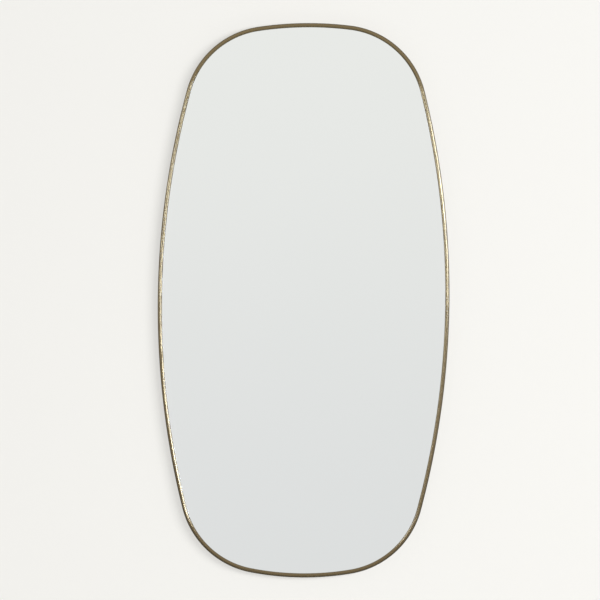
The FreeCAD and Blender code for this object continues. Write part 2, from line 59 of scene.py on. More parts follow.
# %% [markdown]
# ## The outline
#
# The real rim is rolled to a template. Seen from the front its edge is a closed chain of eight
# tangent arcs: four long ones, nearly straight, and four corners of one radius. An arc is easiest to
# describe by the bearing that its outward side faces, in degrees from +X. Between two bearings a and
# b, an arc of radius R moves the edge by R times (unit(b) - unit(a)). The corners' radius is known,
# so the four long radii follow from four straight equations: the chain closes in x and in z, and it
# has the mirror's overall width and height.

# %% Solve the four long radii from the overall size
CORNER_RADIUS = 173 * MM
JOINT_BEARINGS = (14, 83, 98.5, 164.75, 194, 259, 279.5, 345)
ARC_STARTS = (JOINT_BEARINGS[-1] - 360,) + JOINT_BEARINGS[:-1]
ARC_ENDS = JOINT_BEARINGS

OVERALL_WIDTH = 579 * MM
OVERALL_HEIGHT = 1100 * MM
HANGER_HEIGHT = 300 * MM

rim_low, rim_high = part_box("rim")
outline_middle = Vector((0, (rim_low.y + rim_high.y) / 2, -HANGER_HEIGHT))


def unit(bearing):
    """The direction in the outline's plane, (x, z), that a bearing in degrees points to."""
    return np.array([math.cos(math.radians(bearing)), math.sin(math.radians(bearing))])


def reach(first, last, low, high):
    """How far the arc between two bearings moves the edge per metre of radius, inside low to high."""
    a = min(max(first, low), high)
    b = min(max(last, low), high)
    return unit(b) - unit(a)


def solve_radii():
    """The radii of all eight arcs, long and corner in turn."""
    wanted = np.array([0.0, 0.0, -OVERALL_WIDTH, OVERALL_HEIGHT])
    table = np.zeros((4, 8))
    for number, (first, last) in enumerate(zip(ARC_STARTS, ARC_ENDS)):
        whole = unit(last) - unit(first)
        table[0:2, number] = whole
        table[2, number] = reach(first, last, 0, 180)[0]
        table[3, number] = reach(first, last, -90, 90)[1] + reach(first - 360, last - 360, -90, 90)[1]
    corners = table[:, 1::2].sum(axis=1) * CORNER_RADIUS
    long_radii = np.linalg.solve(table[:, 0::2], wanted - corners)
    radii = np.full(8, CORNER_RADIUS)
    radii[0::2] = long_radii
    return radii


RADII = solve_radii()
print("long radii, mm:", [round(r / MM, 1) for r in RADII[0::2]])


def arc_centres():
    """The centres of the eight arcs, placed so that the outline fills the rim's box."""
    centres = [np.array([0.0, 0.0])]
    for number in range(7):
        step = unit(ARC_ENDS[number]) * (RADII[number] - RADII[number + 1])
        centres.append(centres[-1] + step)
    right_edge = centres[0][0] + RADII[0]
    top_edge = centres[2][1] + RADII[2]
    shift = np.array([outline_middle.x + OVERALL_WIDTH / 2 - right_edge,
                      outline_middle.z + OVERALL_HEIGHT / 2 - top_edge])
    return [centre + shift for centre in centres]


CENTRES = arc_centres()


def outline(inset, step):
    """Points (x, z) round the outline moved inwards, their outward directions and distances along."""
    points, facing, along = [], [], []
    walked = 0.0
    for centre, radius, first, last in zip(CENTRES, RADII, ARC_STARTS, ARC_ENDS):
        length = radius * math.radians(last - first)
        count = max(2, round(length / step))
        for index in range(count):
            bearing = first + (last - first) * index / count
            points.append(centre + unit(bearing) * (radius - inset))
            facing.append(unit(bearing))
            along.append(walked + length * index / count)
        walked += length
    return np.array(points), np.array(facing), np.array(along), walked


PERIMETER = outline(0, 0.01)[3]
print("perimeter, mm:", round(PERIMETER / MM, 1))

# %% [markdown]
# ## Helpers for meshes
#
# Every detailed piece here is a mesh written by code, so two small helpers do the common work. One
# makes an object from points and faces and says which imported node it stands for. The other joins
# rings of points into a skin, which serves the rim, the wires and everything turned on a lathe.


# %% Make a piece from points and faces
def make_piece(name, points, faces, body="root", node=None, uvs=None):
    """A smooth mesh object that rides on a body and stands for a node, which it hides."""
    mesh = bpy.data.meshes.new(name)
    mesh.from_pydata([tuple(p) for p in points], [], faces)
    mesh.validate()
    mesh.polygons.foreach_set("use_smooth", [True] * len(mesh.polygons))
    if uvs is not None:
        layer = mesh.uv_layers.new(name=LENGTHWISE)
        layer.data.foreach_set("uv", np.array(uvs, dtype=np.float32).ravel())
    piece = bpy.data.objects.new(name, mesh)
    bpy.context.scene.collection.objects.link(piece)
    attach(piece, body)
    if node:
        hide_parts(node)
    print("%s: %d points, %d faces" % (name, len(points), len(faces)))
    return piece


LENGTHWISE = "lengthwise"


def skin(ring_count, ring_size, closed_along, closed_round=True):
    """Faces that join rings of points, ring after ring, into one skin."""
    faces = []
    for ring in range(ring_count if closed_along else ring_count - 1):
        following = (ring + 1) % ring_count
        for index in range(ring_size if closed_round else ring_size - 1):
            beside = (index + 1) % ring_size
            faces.append((ring * ring_size + index, ring * ring_size + beside,
                          following * ring_size + beside, following * ring_size + index))
    return faces


# %% [markdown]
# ## The rim
#
# On the real mirror this is one bar with an L section: a side wall, 24 mm deep, and a lip in front,
# 8.5 mm wide, whose face is domed. A bevelled curve could make it, but then the dome and the corners
# inside could not be told apart for the finish. So the section is written out as points, each with
# its inset from the outline and its depth, and swept round the arcs. The dome is two quarter ovals
# that meet on the crown, a little fuller than the plain roundings of the frame's solid, and every
# hard edge has a small round that catches the light. A UV map holds the distance along the bar
# and round its girth, so that the finish can brush the metal along its length.

# %% The rim's section
FACE_WIDTH = 8.5 * MM
WALL_THICKNESS = 2 * MM
CROWN_INSET = 4.6 * MM
OUTER_DROP = 4.2 * MM
INNER_DROP = 3.1 * MM
LIP_BACK = rim_low.y + 3.4 * MM
EDGE_ROUND = 0.35 * MM
OUTER_STEPS = 14
INNER_STEPS = 12
EDGE_STEPS = 3


def quarter(centre, across, deep, first, last, steps):
    """Points on an oval quarter, from one turn in degrees to another."""
    turns = np.radians(np.linspace(first, last, steps + 1))
    return [(centre[0] + across * math.cos(t), centre[1] + deep * math.sin(t)) for t in turns]


def rim_section():
    """The closed section as (inset, depth), from the back edge over the dome to the inside."""
    r = EDGE_ROUND
    front, back = rim_low.y, rim_high.y
    inner_edge = FACE_WIDTH
    section = quarter((r, back - r), r, r, 90, 180, EDGE_STEPS)
    wall_top = front + OUTER_DROP
    section += [(0.0, back + (wall_top - back) * share) for share in (0.25, 0.5, 0.75)]
    section += quarter((CROWN_INSET, wall_top), CROWN_INSET, OUTER_DROP, 180, 270, OUTER_STEPS)
    section += quarter((CROWN_INSET, front + INNER_DROP), inner_edge - CROWN_INSET, INNER_DROP,
                       270, 360, INNER_STEPS)[1:]
    section += [(inner_edge, LIP_BACK - 0.2 * MM)]
    section += quarter((inner_edge - 0.2 * MM, LIP_BACK - 0.2 * MM), 0.2 * MM, 0.2 * MM, 0, 90, 2)[1:]
    section += [((inner_edge + WALL_THICKNESS) / 2, LIP_BACK)]
    section += [(WALL_THICKNESS + r, LIP_BACK), (WALL_THICKNESS + 0.3 * r, LIP_BACK + 0.3 * r),
                (WALL_THICKNESS, LIP_BACK + r)]
    section += [(WALL_THICKNESS, LIP_BACK + (back - LIP_BACK) * share) for share in (0.35, 0.7)]
    section += quarter((WALL_THICKNESS - r, back - r), r, r, 0, 90, EDGE_STEPS)
    return section


SECTION = rim_section()
girth_steps = [math.dist(a, b) for a, b in zip(SECTION, SECTION[1:] + SECTION[:1])]
GIRTH = np.concatenate([[0.0], np.cumsum(girth_steps)])
crown_index = min(range(len(SECTION)), key=lambda index: SECTION[index][1])
CROWN_GIRTH = GIRTH[crown_index]
print("section points:", len(SECTION), "crown at girth, mm:", round(CROWN_GIRTH / MM, 1))


# %% Sweep the section round the outline
RIM_STEP = 3 * MM


def make_rim():
    """The brass rim, swept round the eight arcs, with its lengthwise UV map."""
    edge, facing, along, total = outline(0, RIM_STEP)
    points = []
    for (x, z), (out_x, out_z) in zip(edge, facing):
        for inset, depth in SECTION:
            points.append((x - out_x * inset, depth, z - out_z * inset))
    count, size = len(edge), len(SECTION)
    distances = list(along) + [total]
    uvs = []
    for ring in range(count):
        for index in range(size):
            here, ahead = distances[ring], distances[ring + 1]
            uvs += [(here, GIRTH[index]), (here, GIRTH[index + 1]),
                    (ahead, GIRTH[index + 1]), (ahead, GIRTH[index])]
    return make_piece("brass_rim", points, skin(count, size, True), node="rim",
                      uvs=uvs)


rim = make_rim()

# %% [markdown]
# ## Things turned on a lathe
#
# Screws, bumpers and washers are turned or moulded round an axis. Here the axis is Y, because all of
# them sit square to the board. A profile of (radius, depth) pairs is spun round it. A function may
# push each point along the axis, which is how the cross recess gets into a screw head, and another
# may change its radius, which winds the thread on the shank.


# %% Spin a profile
def spun(profile, turns, push=None, swell=None):
    """Rings of points for a profile spun round Y, and the faces between them."""
    points = []
    for radius, depth in profile:
        for index in range(turns):
            angle = 2 * math.pi * index / turns
            r = radius + (swell(radius, depth, angle) if swell else 0)
            x, z = r * math.cos(angle), r * math.sin(angle)
            y = depth + (push(x, z) if push else 0)
            points.append((x, y, z))
    return points, skin(len(profile), turns, False)


def cap(points, faces, ring_start, ring_size, centre, flip):
    """Closes a ring of points with a fan to a point on the axis."""
    points.append(centre)
    hub = len(points) - 1
    for index in range(ring_size):
        pair = (ring_start + index, ring_start + (index + 1) % ring_size)
        faces.append((pair[1], pair[0], hub) if flip else (pair[0], pair[1], hub))


def places_of(node, spread=8 * MM):
    """The middle of each separate solid of a packed group node, in x and z, and its depths."""
    groups = []
    for vertex in nodes[node].data.vertices:
        for group in groups:
            if math.hypot(vertex.co.x - group[0].co.x, vertex.co.z - group[0].co.z) < spread:
                group.append(vertex)
                break
        else:
            groups.append([vertex])
    places = []
    for group in groups:
        low = [min(v.co[axis] for v in group) for axis in range(3)]
        high = [max(v.co[axis] for v in group) for axis in range(3)]
        places.append(((low[0] + high[0]) / 2, low[1], high[1], (low[2] + high[2]) / 2))
    return places


# %% [markdown]
# ## Screws
#
# Pan head chipboard screws: a domed head with a stamped cross recess over a threaded shank. The
# frame's screws are plain, and their thread is left out. The head here is a fine disc whose points
# are pushed down inside the cross, deeper towards the middle, so the recess has sloping walls like
# a stamped one. Each screw stops at its own angle, as a hand would leave it.

# %% One screw
HEAD_RADIUS = 3.5 * MM
HEAD_HEIGHT = 2.4 * MM
SHANK_RADIUS = 1.75 * MM
CORE_RADIUS = 1.25 * MM
THREAD_PITCH = 1.5 * MM
RECESS_HALF_LENGTH = 1.95 * MM
RECESS_HALF_WIDTH = 0.45 * MM
RECESS_DEPTH = 1.3 * MM
RECESS_SLOPE = 0.28 * MM
HEAD_TURNS = 72
SHANK_TURNS = 20


def smooth(low, high, x):
    """0 below low, 1 above high, and an easy curve between them."""
    share = min(max((x - low) / (high - low), 0.0), 1.0)
    return share * share * (3 - 2 * share)


def recess(x, z):
    """How far the stamped cross pushes a point of the head's top down."""
    def bar(along, across):
        inside = 1 - smooth(RECESS_HALF_WIDTH, RECESS_HALF_WIDTH + RECESS_SLOPE, abs(across))
        length = 1 - smooth(RECESS_HALF_LENGTH - RECESS_SLOPE, RECESS_HALF_LENGTH + RECESS_SLOPE, abs(along))
        return inside * length
    depth = max(bar(x, z), bar(z, x))
    taper = 1 - 0.45 * smooth(0, RECESS_HALF_LENGTH, math.hypot(x, z))
    return -RECESS_DEPTH * depth * taper


def screw_parts(length):
    """Points and faces of one screw whose head is behind y = 0 and whose shank points forward."""
    dome = [(r, HEAD_HEIGHT - 0.25 * MM * (r / HEAD_RADIUS) ** 2)
            for r in np.linspace(0.12 * MM, 2.5 * MM, 18)]
    rim_turn = quarter((2.5 * MM, HEAD_HEIGHT - 1.3 * MM), 1.0 * MM, 1.17 * MM, 80, 0, 7)
    top = dome + rim_turn + [(HEAD_RADIUS, 0.15 * MM), (HEAD_RADIUS - 0.15 * MM, 0.0), (SHANK_RADIUS, 0.0)]
    points, faces = spun(top, HEAD_TURNS, push=recess)
    cap(points, faces, 0, HEAD_TURNS, (0, HEAD_HEIGHT + recess(0, 0), 0), True)

    def thread(radius, depth, angle):
        wave = (depth / THREAD_PITCH + angle / (2 * math.pi)) % 1
        crest = max(0.0, 1 - abs(wave - 0.5) / 0.3)
        return (SHANK_RADIUS - CORE_RADIUS) * crest * min(1.0, radius / CORE_RADIUS)

    point_length = 2 * MM
    rings = max(8, round(length / (0.22 * MM)))
    shank = []
    for depth in np.linspace(0, -length + 0.1 * MM, rings):
        left = length + depth
        shank.append((CORE_RADIUS * min(1.0, 0.12 + 0.88 * left / point_length), depth))
    more, more_faces = spun(shank, SHANK_TURNS, swell=thread)
    cap(more, more_faces, (rings - 1) * SHANK_TURNS, SHANK_TURNS, (0, -length, 0), False)
    cap(more, more_faces, 0, SHANK_TURNS, (0, 0, 0), True)
    shift = len(points)
    return points + more, faces + [tuple(index + shift for index in face) for face in more_faces]


# %% Every screw, one group for each job
def turned_about_y(point, angle):
    """A point turned about the Y axis by an angle in radians."""
    x, y, z = point
    return (x * math.cos(angle) - z * math.sin(angle), y, x * math.sin(angle) + z * math.cos(angle))


def make_screws(node, length, draw):
    """One piece that holds the screws of a group, each at its place and its own angle."""
    pattern, pattern_faces = screw_parts(length)
    points, faces = [], []
    for x, front, back, z in sorted(places_of(node)):
        angle = draw.uniform(0, math.pi / 2)
        seat = back - HEAD_HEIGHT
        shift = len(points)
        for point in pattern:
            px, py, pz = turned_about_y(point, angle)
            points.append((x + px, seat + py, z + pz))
        faces += [tuple(index + shift for index in face) for face in pattern_faces]
    return make_piece(node + "_threaded", points, faces, node=node)


SHORT_SCREW = 7.5 * MM
LONG_SCREW = 11 * MM
chance = random.Random(7)
screws = [make_screws("tab_screws", SHORT_SCREW, chance),
          make_screws("hanger_screws", SHORT_SCREW, chance),
          make_screws("bumper_screws", LONG_SCREW, chance)]

# %% [markdown]
# ## Hanger rings
#
# Each ring is one piece of round wire, bent to a D and closed in the middle of its bar, inside the
# strap's eye. It swings on that bar. The path is drawn as straight runs and arcs like the wire
# bender's, and a circle of points follows it. The body that a ring rides on turns about the bar.

# %% Bend the wire
WIRE_RADIUS = 1.5 * MM
RING_HALF_WIDTH = 12 * MM
RING_CORNER = 4 * MM
RING_SIDE = 10 * MM
WIRE_SIDES = 20


def ring_path():
    """Points (x, z) of the wire's middle line from the middle of the bar round the bow."""
    wide, corner, drop = RING_HALF_WIDTH, RING_CORNER, RING_SIDE
    path = [(x, 0.0) for x in np.linspace(0, wide - corner, 5)]
    path += quarter((wide - corner, -corner), corner, corner, 90, 0, 8)[1:]
    path += [(wide, -corner - (drop - corner) * share) for share in (0.5, 1.0)]
    path += quarter((0, -drop), wide, wide, 0, -180, 36)[1:]
    path += [(-wide, -drop + (drop - corner) * share) for share in (0.5, 1.0)]
    path += quarter((corner - wide, -corner), corner, corner, 180, 90, 8)[1:]
    path += [(x, 0.0) for x in np.linspace(corner - wide, 0, 5)[1:-1]]
    return path


def make_ring(side):
    """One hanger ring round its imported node's pivot."""
    node = "hanger_ring_" + side
    low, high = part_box(node)
    middle_x, middle_y = (low.x + high.x) / 2, (low.y + high.y) / 2
    pivot_z = high.z - WIRE_RADIUS
    path = ring_path()
    points = []
    for index, (x, z) in enumerate(path):
        before, after = path[index - 1], path[(index + 1) % len(path)]
        run = np.array([after[0] - before[0], after[1] - before[1]])
        run /= np.linalg.norm(run)
        sideways = np.array([-run[1], run[0]])
        for turn in np.linspace(0, 2 * math.pi, WIRE_SIDES, endpoint=False):
            out = sideways * math.cos(turn) * WIRE_RADIUS
            points.append((middle_x + x + out[0], middle_y + math.sin(turn) * WIRE_RADIUS,
                           pivot_z + z + out[1]))
    faces = skin(len(path), WIRE_SIDES, True)
    return make_piece(node + "_wire", points, faces, body=node, node=node)


rings = [make_ring(side) for side in ("left", "right")]

# %% [markdown]
# ## A small language for finishes
#
# Materials are node trees, and long trees are hard to read as code. Here a wrapper holds one socket,
# and sums on it add Math nodes behind the scenes, so that a finish reads like the rule a finisher
# would give: so much brown where the noise is high, less on the crown. Any other node comes from one
# method, which sets the node's settings first and then feeds its sockets.


# %% Sockets that can be added and multiplied
class Flow:
    """A value that runs through a finish. Arithmetic on it adds Math nodes."""

    def __init__(self, finish, socket):
        self.finish = finish
        self.socket = socket

    def maths(self, operation, first, second):
        return self.finish.node("Math", {"operation": operation}, {0: first, 1: second})

    def __add__(self, other):
        return self.maths("ADD", self, other)

    def __radd__(self, other):
        return self.maths("ADD", other, self)

    def __sub__(self, other):
        return self.maths("SUBTRACT", self, other)

    def __rsub__(self, other):
        return self.maths("SUBTRACT", other, self)

    def __mul__(self, other):
        return self.maths("MULTIPLY", self, other)

    def larger(self, other):
        """The larger of two values."""
        return self.maths("MAXIMUM", self, other)

    def between(self, low, high):
        """0 where the value is under low, 1 where it is over high, and smooth between."""
        settings = {"interpolation_type": "SMOOTHSTEP"}
        return self.finish.node("MapRange", settings, {"Value": self, "From Min": low, "From Max": high})


class Finish:
    """A material, or the world's background, under construction."""

    def __init__(self, name, owner=None):
        self.material = owner or bpy.data.materials.new(name)
        self.material.use_nodes = True
        self.tree = self.material.node_tree
        self.tree.nodes.clear()

    def feed(self, socket, item):
        """Links a Flow to a socket, or sets the socket to a number or a colour."""
        if isinstance(item, Flow):
            self.tree.links.new(item.socket, socket)
        elif isinstance(item, (tuple, list)) and len(item) == 3 and len(socket.default_value) == 4:
            socket.default_value = (*item, 1.0)
        else:
            socket.default_value = item

    def node(self, kind, settings=None, sockets=None, output=0):
        """A node of a kind: its settings are set first, then its sockets are fed."""
        made = self.tree.nodes.new("ShaderNode" + kind)
        for name, setting in (settings or {}).items():
            setattr(made, name, setting)
        for key, item in (sockets or {}).items():
            self.feed(made.inputs[key], item)
        return Flow(self, made.outputs[output]) if len(made.outputs) else None

    def mix(self, share, first, second):
        """A colour between two colours."""
        node = self.tree.nodes.new("ShaderNodeMix")
        node.data_type = "RGBA"
        for index, item in ((0, share), (6, first), (7, second)):
            self.feed(node.inputs[index], item)
        return Flow(self, node.outputs[2])

    def vector(self, operation, first, second=None):
        """Vector arithmetic on one or two vectors."""
        sockets = {0: first} if second is None else {0: first, 1: second}
        return self.node("VectorMath", {"operation": operation}, sockets)

    def stretch(self, place, factors):
        """A place whose x, y and z are multiplied, which stretches a texture."""
        return self.vector("MULTIPLY", place, factors)

    def noise(self, place, scale, detail=4.0, roughness=0.55):
        """A cloudy value round 0.5, with so many features to the metre."""
        sockets = {"Vector": place, "Scale": scale, "Detail": detail, "Roughness": roughness}
        return self.node("TexNoise", {}, sockets)

    def at(self):
        """The place on the piece, in metres, which moves with it."""
        return self.node("TexCoord", output="Object")

    def part(self, place, axis):
        """One of the three parts of a vector, by its letter."""
        return self.node("SeparateXYZ", {}, {0: place}, output=axis)

    def bump(self, height, distance, strength=1.0):
        """A shading normal for a relief whose height, from 0 to 1, is worth a distance."""
        sockets = {"Height": height, "Distance": distance, "Strength": strength}
        return self.node("Bump", {}, sockets)

    def surface(self, **sockets):
        """The shader that everything feeds. Names with spaces are written with underscores."""
        named = {key.replace("_", " "): item for key, item in sockets.items()}
        return self.covered(self.node("BsdfPrincipled", {}, named))

    def covered(self, shader):
        """The finished material, whose surface is a shader."""
        self.node("OutputMaterial", {}, {"Surface": shader})
        print("%s: %d shader nodes" % (self.material.name, len(self.tree.nodes)))
        return self.material


def dress(piece, material):
    """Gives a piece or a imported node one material."""
    piece.data.materials.clear()
    piece.data.materials.append(material)


# %% [markdown]
# ## Aged brass
#
# The rim is brass that was brushed along its length, darkened in a bath and then lacquered. The
# brush leaves grooves too fine for the picture to show, but they spread a reflection across the bar
# and not along it. So a highlight fills the bar where the bar faces a lamp, and it goes out fast in
# the corners. Here a noise on the lengthwise UV map, stretched along the bar, tilts the shading
# normal sideways, as the walls of the grooves do. The brown is darker towards the foot, darkest on
# the outer side, and dark again on the lip's inner flank. The thin inner edge is painted much
# paler, partly as rubbed brass and partly as a painted highlight. Clear lacquer is the shader's coat.


# %% The rim's finish
def girth_at(inset):
    """The distance round the girth at which the face, past its outer edge, has an inset."""
    face = [(place, reached) for (place, depth), reached in zip(SECTION, GIRTH) if depth < LIP_BACK]
    return float(np.interp(inset, [f[0] for f in face], [f[1] for f in face]))


FRESH_BROWN = (0.215, 0.162, 0.075)
DARK_BROWN = (0.13, 0.09, 0.042)
BRUSHED_STREAK = (0.25, 0.19, 0.092)
OUTER_SIDE_DARK = (0.045, 0.035, 0.02)
INNER_FLANK_DARK = (0.07, 0.055, 0.03)
# Pale brass for the thin inner edge: partly rubbed metal, partly a painted highlight.
RUBBED_EDGE_AND_HIGHLIGHT = (0.62, 0.57, 0.45)
STREAKS_PER_METRE = (25.0, 1600.0, 1.0)
GROOVES_PER_METRE = (12.0, 5000.0, 1.0)
GROOVE_TILT = 2.6


def aged_brass():
    """Brown brass, brushed along the bar, darker outside, and pale on its inner edge: rubbed brass and a
    painted highlight.
    """
    paint = Finish("aged_brass")
    bar = paint.node("UVMap", {"uv_map": LENGTHWISE})
    girth = paint.part(bar, "Y")
    place = paint.at()
    clouds = paint.noise(place, 9.0, 3.0)
    spots = paint.noise(place, 160.0, 5.0, 0.65)
    streaks = paint.noise(paint.stretch(bar, STREAKS_PER_METRE), 1.0, 4.0, 0.6)
    side = 1 - (girth + spots * 0.5 * MM).between(girth_at(1.2 * MM), girth_at(3.0 * MM))
    inside = (girth + spots * 0.4 * MM).between(girth_at(7.6 * MM), girth_at(8.1 * MM))
    # The thin inner edge, which is painted pale: rubbed brass and a painted highlight together.
    worn_and_highlight = (girth + spots * 0.3 * MM).between(girth_at(8.3 * MM), girth_at(8.45 * MM))
    lower = 1 - paint.part(place, "Z").between(-0.95, 0.25)
    # The brown darkens at random in clouds and spots, and steadily towards the foot.
    tarnish_and_foot_dark = clouds.between(0.35, 0.7) * 0.16 + spots.between(0.5, 0.75) * 0.12 + lower * 0.5 + 0.1
    metal = paint.mix(tarnish_and_foot_dark, FRESH_BROWN, DARK_BROWN)
    metal = paint.mix(streaks.between(0.35, 0.75) * 0.35, metal, BRUSHED_STREAK)
    # Darkest on the outer side, more so towards the foot.
    metal = paint.mix(side * (0.55 + lower * 0.4), metal, OUTER_SIDE_DARK)
    # Darker on the lip's inner flank.
    metal = paint.mix(inside * 0.5, metal, INNER_FLANK_DARK)
    # Paint the inner edge pale, as rubbed brass and as a painted highlight.
    metal = paint.mix(worn_and_highlight * 0.8, metal, RUBBED_EDGE_AND_HIGHLIGHT)
    rough = 0.12 + streaks * 0.06 + tarnish_and_foot_dark * 0.05 + side * 0.1
    dented = paint.bump(paint.noise(place, 55.0, 2.0), 0.2 * MM, 0.12)
    lengthwise = paint.node("Tangent", {"direction_type": "UV_MAP", "uv_map": LENGTHWISE})
    across = paint.vector("CROSS_PRODUCT", dented, lengthwise)
    grooves = paint.noise(paint.stretch(bar, GROOVES_PER_METRE), 1.0, 2.0, 0.6)
    tilt = paint.vector("MULTIPLY", across, (grooves - 0.5) * GROOVE_TILT)
    brushed = paint.vector("NORMALIZE", paint.vector("ADD", dented, tilt))
    return paint.surface(Base_Color=metal, Metallic=1.0, Roughness=rough, Normal=brushed,
                         Coat_Weight=0.6 - side * 0.3, Coat_Roughness=0.14, Coat_IOR=1.5)


dress(rim, aged_brass())

# %% [markdown]
# ## The silvered pane
#
# A mirror pane is clear glass with silver and paint on its back. Rendered as real glass it would
# need many bounces and gain nothing, because only the silver is seen. So the front is a metal as pale
# and faintly green as silver under 4 mm of glass, almost without roughness. The back and the ground
# edge are grey paint. The shader tells front from back by the way the surface faces.


# %% The pane's finish
def silvered_glass():
    """Pale silver in front, grey paint behind and on the edge."""
    glass = Finish("silvered_glass")
    place = glass.at()
    facing = glass.part(glass.node("NewGeometry", output="True Normal"), "Y")
    front = 1 - facing.between(-0.95, -0.8)
    haze = glass.noise(place, 3.0, 2.0)
    grit = glass.noise(place, 900.0, 3.0)
    silver = glass.mix(haze, (0.868, 0.901, 0.900), (0.883, 0.911, 0.915))
    paint = glass.mix(grit, (0.24, 0.25, 0.25), (0.32, 0.33, 0.33))
    rough = front * (0.012 + haze * 0.008) + (1 - front) * (0.55 + grit * 0.15)
    sprayed = glass.bump(grit * (1 - front), 0.05 * MM, 0.5)
    return glass.surface(Base_Color=glass.mix(front, paint, silver), Metallic=front,
                         Roughness=rough, Normal=sprayed)


dress(nodes["mirror_pane"], silvered_glass())

# %% [markdown]
# ## The fibre board
#
# The board is medium density fibre board, pressed from wood fibre. Its faces are hard and smooth with
# a mat of short fibres just under the skin, and its sawn edge is darker and rougher. Two noises
# stretched in different directions make fibres that cross, and a third makes the slow blotches left
# by the press.


# %% The board's finish
def fibreboard():
    """Pressed wood fibre with a darker sawn edge."""
    board = Finish("fibreboard")
    place = board.at()
    facing = board.part(board.node("NewGeometry", output="True Normal"), "Y")
    sawn = 1 - board.node("Math", {"operation": "ABSOLUTE"}, {0: facing}).between(0.5, 0.9)
    long_fibres = board.noise(board.stretch(place, (220.0, 220.0, 1300.0)), 1.0, 5.0, 0.7)
    cross_fibres = board.noise(board.stretch(place, (1400.0, 220.0, 260.0)), 1.0, 5.0, 0.7)
    blotches = board.noise(place, 11.0, 3.0)
    specks = board.noise(place, 750.0, 2.0).between(0.66, 0.74)
    fibres = long_fibres * 0.5 + cross_fibres * 0.5
    tone = board.mix(fibres.between(0.36, 0.64), (0.37, 0.255, 0.145), (0.59, 0.445, 0.285))
    tone = board.mix(blotches.between(0.3, 0.7) * 0.3, tone, (0.43, 0.315, 0.19))
    tone = board.mix(specks * 0.5, tone, (0.16, 0.10, 0.055))
    tone = board.mix(sawn * 0.6, tone, (0.24, 0.155, 0.085))
    return board.surface(Base_Color=tone, Roughness=0.55 + fibres * 0.2 + sawn * 0.1,
                         Normal=board.bump(fibres, 0.12 * MM, 0.6))


dress(nodes["backing_board"], fibreboard())

# %% [markdown]
# ## Bare and plated steel
#
# The tabs are bare spring steel, blued a little by the rolling mill, with scratches that run along
# the strip. The screws, straps, rings and washers are zinc plated, which is paler and bluer and shows
# soft cloudy crystals. The two finishes share one recipe and differ in tone and roughness.


# %% Two steels
def steel(name, dark, light, rough, scratch_scale, cloud_scale):
    """Steel that clouds over between two tones, with fine scratches and a few stains."""
    metal = Finish(name)
    place = metal.at()
    scratches = metal.noise(metal.stretch(place, scratch_scale), 1.0, 4.0, 0.6)
    clouds = metal.noise(place, cloud_scale, 4.0, 0.6)
    stains = metal.noise(place, cloud_scale * 0.22, 3.0).between(0.52, 0.72)
    tone = metal.mix(clouds.between(0.3, 0.7), dark, light)
    tone = metal.mix(stains * 0.35, tone, tuple(channel * 0.6 for channel in dark))
    return metal.surface(Base_Color=tone, Metallic=1.0,
                         Roughness=rough + clouds * 0.12 + stains * 0.1,
                         Normal=metal.bump(scratches, 0.03 * MM, 0.5))


ROLLED = (900.0, 900.0, 4000.0)
TUMBLED = (1500.0, 1500.0, 1500.0)
tab_steel = steel("tab_steel", (0.38, 0.38, 0.38), (0.56, 0.56, 0.55), 0.26, ROLLED, 130.0)
zinc_steel = steel("zinc_steel", (0.38, 0.39, 0.41), (0.60, 0.61, 0.62), 0.24, TUMBLED, 420.0)
for name in sorted(nodes):
    if name.startswith("retaining_tab"):
        dress(nodes[name], tab_steel)
    if name.startswith("hanger_strap") or name == "bumper_washers":
        dress(nodes[name], zinc_steel)
for piece in screws + rings:
    dress(piece, zinc_steel)

# %% [markdown]
# ## Rubber and foam
#
# The bumpers and the glass pads are moulded black rubber, dusted with talc in its hollows. The
# gasket and the mounting tape are fine foam, pale grey and white, full of cells. A Voronoi texture
# makes the cells, and noise does for the rubber's fine grain.


# %% Soft parts
def rubber():
    """Black rubber with a fine grain and a little talc."""
    stuff = Finish("rubber")
    place = stuff.at()
    grain = stuff.noise(place, 1800.0, 3.0)
    dust = stuff.noise(place, 140.0, 4.0).between(0.5, 0.75)
    tone = stuff.mix(dust * 0.35, (0.022, 0.022, 0.023), (0.085, 0.083, 0.08))
    return stuff.surface(Base_Color=tone, Roughness=0.55 + grain * 0.15 + dust * 0.15,
                         Normal=stuff.bump(grain, 0.03 * MM, 0.6))


def foam(name, wall, hollow):
    """Fine foam whose cells have walls and hollows of two tones."""
    stuff = Finish(name)
    place = stuff.at()
    cells = stuff.node("TexVoronoi", {}, {"Vector": place, "Scale": 1500.0})
    tone = stuff.mix(cells.between(0.15, 0.6), hollow, wall)
    return stuff.surface(Base_Color=tone, Roughness=0.9, Normal=stuff.bump(cells, 0.1 * MM, 0.5))


black_rubber = rubber()
gasket_foam = foam("gasket_foam", (0.16, 0.16, 0.16), (0.06, 0.06, 0.06))
tape_foam = foam("tape_foam", (0.80, 0.79, 0.76), (0.55, 0.54, 0.52))
for name in sorted(nodes):
    if name.startswith(("wall_bumper", "setting_pad")):
        dress(nodes[name], black_rubber)
    if name.startswith("mounting_tape"):
        dress(nodes[name], tape_foam)
dress(nodes["lip_gasket"], gasket_foam)

# %% [markdown]
# ## The wall and the floor
#
# The mirror hangs on a plain pale wall. The wall has an opening behind the mirror, smaller than the
# rim, so it can't be seen from the front. From its back the wall is clear, and light from behind
# goes through it, so that the mirror's back can be looked at. The paint is matt, but most of what
# the camera sees of it is a steady glow of its own colour: only the rest is real shading, which
# leaves the mirror's soft shadow as faint as it is in a bright room. The floor is pale too and fades
# out before the pane could show its far edge.

# %% Build the wall round the mirror
WALL_BEHIND = 0.4 * MM
OPENING_INSET = 45 * MM
WALL_HALF_WIDTH = 5.0
WALL_ABOVE = 3.2
FLOOR_BELOW = 1.25
FLOOR_FRONT = 3.4
FLOOR_BACK = 2.2
floor_z = outline_middle.z - FLOOR_BELOW
wall_top = outline_middle.z + WALL_ABOVE


